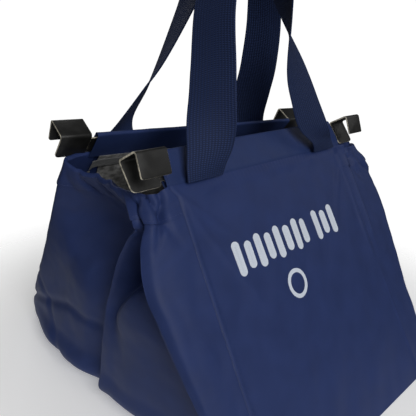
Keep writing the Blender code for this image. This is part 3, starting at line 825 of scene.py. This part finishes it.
def panel_grid(side, columns, rows, inset=0.0, lowest=1.0):
    """The panel's outer face, with its soft folds, or a layer inside it."""
    across = np.linspace(-1, 1, columns + 1)
    down = np.linspace(0, lowest, rows + 1) ** 1.25
    points = np.array([[side.panel_point(a, d) for a in across] for d in down], float)
    a, d = np.meshgrid(across, down)
    out = np.array(side.out)
    run = a * side.half
    drop = d * side.slope
    offset = PANEL_BULGE * np.sin(math.pi * d) * (1 - a ** 2)
    edge = (1 - np.abs(a)) * side.half
    free = smooth(edge / 0.010)
    wave = 0
    for height, lean, stretch, size, seed in PANEL_WAVES:
        wave += height * wander(run + lean * drop, drop * stretch, size, seed + side.facing)
    offset += free * wave * smooth(drop / 0.02)
    pucker = np.sin(2 * math.pi * run / PUCKER_PITCH + 2.2 * wander(run, 0 * run, 0.03, 4.4))
    pucker *= 0.4 + 0.9 * np.abs(wander(run, 0 * run, 0.05, 2.0))
    offset += PUCKER_HEIGHT * pucker * np.exp(-drop / 0.009)
    offset += SEAM_ROLL * hill(drop, 0.009, 0.006) * free
    for end, lean, size in PANEL_PULLS:
        reach = (a - end) * -end * side.half
        away = (drop - 0.012 - lean * reach) / math.hypot(1, lean)
        offset += size * hill(away, 0, PULL_WIDTH) * smooth((0.085 - reach) / 0.06) * free
    ridge = EDGE_RIDGE * hill(edge, 0.0030, 0.0024)
    swell = side.swell(mix(SEAM_HEIGHT, HINGE_HEIGHT, d)) * hill(edge, SWELL_PLACE, SWELL_WIDTH)
    offset += np.where(a < 0, ridge, swell + 0.5 * ridge * smooth((d - 0.45) / 0.2))
    return points + out * (offset - inset)[..., None]


def build_panel(side):
    grid = panel_grid(side, 150, 150)
    panel = cloth_piece(f"{side.name}_panel_cloth", grid, CLOTH, NAVY, side.out)
    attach(panel, side.body)
    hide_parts(f"{side.name}_panel")
    grid = panel_grid(side, 60, 60, inset=LINING_LAYER, lowest=0.96)[:, 2:-2]
    run = lengths(grid, 1)
    drop = lengths(grid, 0)
    creases = 0.0016 * wander(run, drop, 0.022, 21.0) + 0.0010 * wander(run, drop * 2, 0.011, 3.0)
    grid = grid - np.array(side.out) * (0.001 + creases * smooth(drop / 0.02))[..., None]
    lining = cloth_piece(f"{side.name}_panel_lining", grid, LINING, GREY, side.out)
    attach(lining, side.body)
    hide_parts(f"{side.name}_lining")


PRINT_LEFT = -0.107  # the print's place on the front panel, along the bar and down from the seam
PRINT_RIGHT = 0.085
PRINT_TOP = 0.0715
PRINT_FOOT = 0.1085
RING_PLACE = (-0.027, 0.1405)
RING_RADIUS = 0.0165
INK_THICKNESS = 0.00025


def capsule(centre, half_width, half_height):
    """The outline of an upright bar with round ends, as points along and down."""
    points = []
    for quarter in range(24):
        angle = 2 * math.pi * quarter / 24
        lift = (half_height - half_width) * (1 if math.sin(angle) >= 0 else -1)
        points.append((centre[0] + half_width * math.cos(angle),
                       centre[1] + half_width * math.sin(angle) + lift))
    return points


def build_print():
    """Pale ink on the front panel: a row of plain upright bars, and a plain ring under it."""
    count, gap_after, pitch = 11, 7, (PRINT_RIGHT - PRINT_LEFT) / 11.7
    tree = BVHTree.FromPolygons(*grid_lists(panel_grid(FRONT, 150, 150)))
    whole = bmesh.new()
    for number in range(count):
        middle = PRINT_LEFT + pitch * (number + 0.5 + 0.7 * (number > gap_after))
        half_height = (PRINT_FOOT - PRINT_TOP) / 2 * (1.0 if number % 2 == 0 else 0.80)
        centre = (middle, (PRINT_TOP + PRINT_FOOT) / 2)
        half_width = pitch * 0.33
        shares = (0.02, 0.35, 0.7, 1.0)
        add_patch(whole, tree, [capsule(centre, half_width * share, half_height - half_width * (1 - share))
                                for share in shares])
    rings = []
    for radius in (0.72, 0.81, 0.91, 1.0):
        turns = [2 * math.pi * k / 64 for k in range(64)]
        rings.append([(RING_PLACE[0] + RING_RADIUS * radius * math.cos(t),
                       RING_PLACE[1] + RING_RADIUS * radius * math.sin(t)) for t in turns])
    add_patch(whole, tree, rings)
    mesh = mesh_of(whole, "front_print")
    layer = mesh.uv_layers.new(name="UVMap")
    for loop, place in zip(mesh.loops, layer.data):
        spot = FRONT.to_world.inverted() @ mesh.vertices[loop.vertex_index].co
        place.uv = (spot.x, spot.y)
    piece = add_piece("front_print", mesh, INK)
    thicken(piece, INK_THICKNESS, 1)
    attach(piece, FRONT.body)


def add_patch(whole, tree, outlines):
    """Rings of points laid on the panel, each ring joined to the next."""
    seam = FRONT.to_world @ Vector((0, 0, PANEL_OUT))
    fall = (FRONT.base - seam).normalized()
    laid = []
    for outline in outlines:
        ring = []
        for run, drop in outline:
            spot = seam + FRONT.along * run + fall * drop + FRONT.out * 0.02
            hit = tree.ray_cast(spot, -FRONT.out)[0]
            ring.append(whole.verts.new(hit + FRONT.out * 0.00008))
        laid.append(ring)
    for inner, outer in zip(laid, laid[1:]):
        for k in range(len(inner)):
            after = (k + 1) % len(inner)
            whole.faces.new((inner[k], inner[after], outer[after], outer[k]))


# Sleeves, bindings, hooks


def build_sleeve(side):
    """A strip of cloth folded over the bar, open at both ends."""
    straight = side.height - SLEEVE_RADIUS
    turn = math.pi * SLEEVE_RADIUS
    runs = np.concatenate([
        np.linspace(0, straight, 22), straight + turn * np.linspace(0, 1, 13)[1:],
        straight + turn + np.linspace(0, straight, 22)[1:],
    ])
    columns = np.linspace(-side.half, side.half, 161)
    points = np.array([[sleeve_point(side, x, run, straight, turn) for x in columns] for run in runs])
    outwards = side.sleeve_out + side.sleeve_up * 2
    piece = cloth_piece(f"{side.name}_sleeve_cloth", points, LINING, NAVY_SMOOTH, outwards)
    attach(piece, side.body)
    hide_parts(f"{side.name}_sleeve")
    for word, wall in WALLS:
        x = side.end(wall) * (side.half - 0.004)
        line = [sleeve_point(side, x, run, straight, turn) for run in runs[:21]]
        thread = stitches(f"{side.name}_sleeve_stitches_{word}", line, [side.sleeve_out])
        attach(thread, side.body)


def sleeve_point(side, x, run, straight, turn):
    """A point of the sleeve: along the bar, and from the outer ply's foot over the top to the inner's."""
    if run < straight:
        y, z, out = run, SLEEVE_RADIUS, 1
    elif run < straight + turn:
        angle = (run - straight) / SLEEVE_RADIUS
        y = straight + SLEEVE_RADIUS * math.sin(angle)
        z, out = SLEEVE_RADIUS * math.cos(angle), math.cos(angle)
    else:
        y, z, out = 2 * straight + turn - run, -SLEEVE_RADIUS, -1
    slack = 0.5 + 0.5 * noise.noise(Vector((x / 0.06, y / 0.05, side.facing * 3.0 + out)))
    belly = 0.0007 * math.sin(math.pi * min(max(y / side.height, 0), 1)) * slack
    flare = 0.0006 * math.exp(-(side.half - abs(x)) / 0.006)
    pull = 0.0004 * noise.noise(Vector((x / 0.016, y / 0.03, 5.0)))
    tuck = -0.0011 * math.exp(-y / 0.0016) * (out > 0.5)
    z += out * (belly + flare) + pull + tuck
    return tuple(side.to_world @ Vector((x, y + 0.0001, z)))


TAPE_THICKNESS = 0.0007
TAPE_WIDTH = 0.012
TAPE_TOP = -0.002  # in the sleeve's frame: its upper edge, and its place inside the panel
TAPE_PLACE = -0.0064
TAPE_TAIL = 0.004  # how short of the sleeve's end it stops, and how far its tail sags


def build_binding(side):
    """Woven tape over the raw edge inside, just under the sleeve, with a loose tail at each end."""
    half = side.half - TAPE_TAIL
    points = []
    for row in np.linspace(0, 1, 7):
        line = []
        for x in np.linspace(-half, half, 121):
            tail = math.exp(-(half - abs(x)) / TAPE_TAIL)
            y = TAPE_TOP - row * TAPE_WIDTH - TAPE_TAIL * tail * row
            z = TAPE_PLACE - 0.0006 * noise.noise(Vector((x / 0.02, row, 1.0))) - 0.0016 * tail
            line.append(tuple(side.to_world @ Vector((x, y, z))))
        points.append(line)
    piece = cloth_piece(f"{side.name}_binding_tape", np.array(points), TAPE_THICKNESS, TAPE, -side.sleeve_out)
    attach(piece, side.body)
    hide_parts(f"{side.name}_binding")


HOOK_DEEP = 0.0035  # more steel than this behind a face means that it is the sheet's edge
HOOK_EASE = 0.00035


def is_rim(tree, face, along):
    """A face on the sheet's cut edge: it faces along the bar, or the steel behind it is deep."""
    if abs(face.normal.dot(along)) > 0.8:
        return True
    centre = face.calc_center_median()
    hit = tree.ray_cast(centre - face.normal * 0.0001, -face.normal)
    return hit[0] is None or hit[3] > HOOK_DEEP


def build_hook(side, word):
    """The pressed hook with eased edges, and pale cut rims: partly coating rubbed off, partly a painted
    highlight along them.
    """
    node = f"{side.name}_hook_{word}"
    piece = add_piece(f"{node}_steel", frame["nodes"][node].data.copy(), BLACK, RIM_WEAR_AND_HIGHLIGHT)
    body = bmesh.new()
    body.from_mesh(piece.data)
    bmesh.ops.remove_doubles(body, verts=body.verts, dist=0.00002)
    bmesh.ops.dissolve_limit(body, angle_limit=math.radians(2), verts=body.verts, edges=body.edges)
    body.normal_update()
    tree = BVHTree.FromBMesh(body)
    # Rim faces get the pale colour, which is partly wear and partly a painted edge highlight.
    for face in body.faces:
        face.material_index = int(is_rim(tree, face, side.along))
    body.to_mesh(piece.data)
    body.free()
    bevel = piece.modifiers.new("Eased edges", "BEVEL")
    bevel.width = HOOK_EASE
    bevel.segments = 2
    bevel.limit_method = "ANGLE"
    bevel.angle_limit = math.radians(50)
    # The eased bevels take the same pale rim colour: wear together with a painted highlight.
    bevel.material = 1
    freeze(piece, 30)
    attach(piece, side.body)
    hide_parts(node)


# Handles. The routes repeat the model's own: along the bar, out from the seam, up from the seam and
# the webbing's twist in degrees, with sizes as shares of the sleeve's length.

FRONT_ROUTE = (
    (-0.352, 0.020, 0.008, 0),
    (-0.353, 0.024, 0.050, 8),
    (-0.336, 0.018, 0.115, 26),
    (-0.314, -0.006, 0.230, 61),
    (-0.291, -0.032, 0.340, 72),
    (-0.263, -0.064, 0.520, 84),
    (-0.196, -0.088, 0.690, 88),
    (-0.066, -0.096, 0.790, 90),
    (0.044, -0.088, 0.700, 88),
    (0.103, -0.064, 0.520, 54),
    (0.154, -0.032, 0.340, 13),
    (0.194, -0.006, 0.230, -2),
    (0.245, 0.022, 0.115, -14),
    (0.318, 0.024, 0.050, 4),
    (0.352, 0.020, 0.008, 0),
)
BACK_ROUTE = (
    (-0.346, 0.020, 0.008, 0),
    (-0.330, 0.024, 0.050, 20),
    (-0.308, 0.018, 0.115, 40),
    (-0.306, -0.006, 0.230, 53),
    (-0.300, -0.032, 0.340, 60),
    (-0.270, -0.064, 0.520, 75),
    (-0.200, -0.088, 0.690, 88),
    (-0.050, -0.096, 0.790, 90),
    (0.072, -0.088, 0.700, 88),
    (0.141, -0.064, 0.520, 77),
    (0.213, -0.032, 0.340, 65),
    (0.266, -0.006, 0.230, 52),
    (0.331, 0.022, 0.115, 39),
    (0.356, 0.024, 0.050, 14),
    (0.346, 0.020, 0.008, 0),
)
ROUTES = {"front": FRONT_ROUTE, "back": BACK_ROUTE}


def spline(points, share):
    """A point on a smooth curve through all the points, share from 0 to 1."""
    spans = len(points) - 1
    place = min(share * spans, spans - 1e-9)
    index = int(place)
    t = place - index
    a, b, c, d = (np.array(points[min(max(index + k, 0), spans)], float) for k in (-1, 0, 1, 2))
    value = 2 * b + (c - a) * t + (2 * a - 5 * b + 4 * c - d) * t * t
    return (value + (3 * b - a - 3 * c + d) * t * t * t) / 2


def handle_section(route, share, length):
    """Centre, width direction and face direction of the webbing."""
    step = 0.004
    here = spline(route, share)
    ahead = spline(route, min(share + step, 1))
    behind = spline(route, max(share - step, 0))
    centre = Vector((here[0], -here[1], here[2])) * length
    tangent = Vector((ahead[0] - behind[0], behind[1] - ahead[1], ahead[2] - behind[2]))
    rising = Vector((0, 0, 1 if share < 0.5 else -1))
    along = rising.lerp(tangent.normalized(), float(smooth((here[2] - 0.10) / 0.30))).normalized()
    twist = math.radians(here[3])
    round_loop = Vector((-along.z, 0, along.x))
    face = Vector((0, -math.cos(twist), 0)) + round_loop * math.sin(twist)
    width = along.cross(face).normalized()
    return centre, width, width.cross(along).normalized()


RINGS = 420  # along one handle
RIB_HEIGHT = 0.00034


def build_handle(side):
    """Ribbed webbing, a closed band whose ribs and bound edges are modelled."""
    body = f"{side.name}_handle"
    joint = JOINTS[f"{side.name}_handle_swing"]
    along = Vector(joint["axis"]).normalized()
    inwards = Vector((0, 0, 1)).cross(along).normalized()
    turn = Matrix((along, inwards, along.cross(inwards))).transposed()
    pivot = Vector(joint["pos_m"])
    across = np.linspace(0, 1, STRAP_RIBS * 6 + 1)
    rib = RIB_HEIGHT * np.abs(np.sin(math.pi * STRAP_RIBS * across)) ** 0.7
    edge = 1 - smooth(np.minimum(across, 1 - across) / 0.03)
    half = STRAP_THICKNESS / 2 * (1 - 0.55 * edge) - RIB_HEIGHT / 2 + rib
    outline = np.concatenate([np.stack([across, half], 1), np.stack([across[::-1], -half[::-1]], 1)])
    points = []
    for ring in range(RINGS + 1):
        centre, width, face = handle_section(ROUTES[side.name], ring / RINGS, 2 * side.half)
        row = []
        for place, height in outline:
            spot = centre + width * (place - 0.5) * STRAP_WIDTH + face * height
            spot += Vector((0, STRAP_AXIS_OUT, 0))
            row.append(tuple(pivot + turn @ spot))
        points.append(row)
    mesh = closed_ends(grid_mesh(f"{body}_webbing", np.array(points), around=True))
    piece = add_piece(f"{body}_webbing", mesh, WEBBING)
    mesh.shade_smooth()
    mesh.set_sharp_from_angle(angle=math.radians(60))
    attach(piece, body)
    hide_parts(body)


def closed_ends(mesh):
    """Caps a tube's two open ends, and turns all its faces outwards."""
    body = bmesh.new()
    body.from_mesh(mesh)
    rims = [edge for edge in body.edges if edge.is_boundary]
    bmesh.ops.holes_fill(body, edges=rims, sides=0)
    bmesh.ops.recalc_face_normals(body, faces=body.faces)
    body.to_mesh(mesh)
    body.free()
    return mesh


# Base


def build_base():
    """The bottom's cloth with its rolled edge seam, and the lining over the board."""
    columns, rows = 96, 120
    x = np.linspace(-BASE_HALF, BASE_HALF, columns + 1)
    y = np.linspace(-HALF_DEPTH, HALF_DEPTH, rows + 1)
    grid_x, grid_y = np.meshgrid(x, y)
    edge = np.minimum(BASE_HALF - np.abs(grid_x), HALF_DEPTH - np.abs(grid_y))
    z = 0.0004 * (1 + wander(grid_x, grid_y, 0.05, 2.0)) + 0.0010 * smooth((0.004 - edge) / 0.004)
    under = np.stack([grid_x, grid_y, z * smooth(1 - hill(edge, 0.008, 0.002))], axis=-1)
    piece = cloth_piece("bottom_cloth", under, 0.0009, NAVY, (0, 0, -1))
    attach(piece, "base")
    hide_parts("bottom_panel")
    low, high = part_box("bottom_lining")
    x = np.linspace(low.x + 0.001, high.x - 0.001, columns + 1)
    y = np.linspace(low.y + 0.001, high.y - 0.001, rows + 1)
    grid_x, grid_y = np.meshgrid(x, y)
    z = low.z + 0.0010 + 0.0006 * (1 + wander(grid_x, grid_y, 0.035, 6.0))
    over = np.stack([grid_x, grid_y, z], axis=-1)
    piece = cloth_piece("bottom_lining_cloth", over, LINING, GREY, (0, 0, 1))
    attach(piece, "base")
    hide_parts("bottom_lining")


def paint_kept_nodes():
    """The nodes whose shape is right keep their mesh and get a better material."""
    for name, node in frame["nodes"].items():
        if name == "base_board":
            material, slot = BOARD, "grey_board"
        elif name.endswith("_bar") or "_rivet_" in name:
            material, slot = STEEL, "plain_steel"
        else:
            continue
        node.data.materials.clear()
        node.data.materials.append(material)


# Floor, lights and camera


def build_floor():
    """A pale floor that fades into the white background."""
    disc = bmesh.new()
    bmesh.ops.create_circle(disc, cap_ends=True, segments=96, radius=1.2)
    shader = Shader("floor", (0.90, 0.90, 0.90), 0.9)
    shader.tint(shader.noise(3.0, 2.0, use_uv=False), 0.995, 1.0)
    shader.set(shader.surface, {"Emission Color": (1, 1, 1, 1), "Emission Strength": 0.26})
    shader.fade(0.26, 0.62)
    floor = add_piece("floor", mesh_of(disc, "floor"), shader.material)
    floor.location.z = -0.0006


def add_light(name, place, size, power):
    light = bpy.data.lights.new(name, "AREA")
    light.shape = "RECTANGLE"
    light.size, light.size_y = size
    light.energy = power
    lamp = bpy.data.objects.new(name, light)
    bpy.context.scene.collection.objects.link(lamp)
    lamp.location = place
    lamp.rotation_euler = (Vector((0, 0, 0.2)) - Vector(place)).to_track_quat("-Z", "Y").to_euler()


def build_world():
    """A white background that lights the bag less than it shows."""
    world = bpy.data.worlds.new("studio")
    bpy.context.scene.world = world
    world.use_nodes = True
    tree = world.node_tree
    background = tree.nodes["Background"]
    background.inputs["Color"].default_value = (1, 1, 1, 1)
    path = tree.nodes.new("ShaderNodeLightPath")
    spread = tree.nodes.new("ShaderNodeMapRange")
    spread.inputs["To Min"].default_value = 0.07
    spread.inputs["To Max"].default_value = 1.05
    tree.links.new(path.outputs["Is Camera Ray"], spread.inputs["Value"])
    tree.links.new(spread.outputs["Result"], background.inputs["Strength"])


def build_lights():
    add_light("key", (-0.50, -1.40, 1.05), (0.9, 0.9), 17)
    add_light("side", (-1.40, 0.20, 0.70), (0.4, 0.5), 1.2)
    add_light("right", (1.30, -0.70, 1.10), (0.8, 0.8), 2.4)
    add_light("back", (0.3, 1.4, 1.4), (0.9, 0.8), 5)


def build_camera():
    """The camera looks at the front left corner from above, a little tilted."""
    azimuth, elevation, roll = (math.radians(angle) for angle in (43.99, 20.49, 2.85))
    back = Vector((
        -math.sin(azimuth) * math.cos(elevation),
        -math.cos(azimuth) * math.cos(elevation),
        math.sin(elevation),
    ))
    level = Vector((0, 0, 1)).cross(back).normalized()
    up = back.cross(level)
    right = level * math.cos(roll) + up * math.sin(roll)
    camera = bpy.data.cameras.new("camera")
    camera.lens = 40.05
    camera.sensor_width = 36
    camera.shift_y = 0.0012
    holder = bpy.data.objects.new("camera", camera)
    bpy.context.scene.collection.objects.link(holder)
    matrix = Matrix((right, back.cross(right), back)).transposed().to_4x4()
    matrix.translation = (-0.41649, -0.39626, 0.41168)
    holder.matrix_world = matrix
    bpy.context.scene.camera = holder


build_camera()
build_world()
build_lights()
build_floor()
paint_kept_nodes()
build_base()
for bag_side in (FRONT, BACK):
    build_sleeve(bag_side)
    build_panel(bag_side)
    build_binding(bag_side)
    for side_word, _ in WALLS:
        build_hook(bag_side, side_word)
    build_handle(bag_side)
build_print()
for side_word, wall_sign in WALLS:
    build_gusset(side_word, wall_sign)
    build_hem(side_word, wall_sign)

bpy.context.scene.view_settings.view_transform = "Standard"
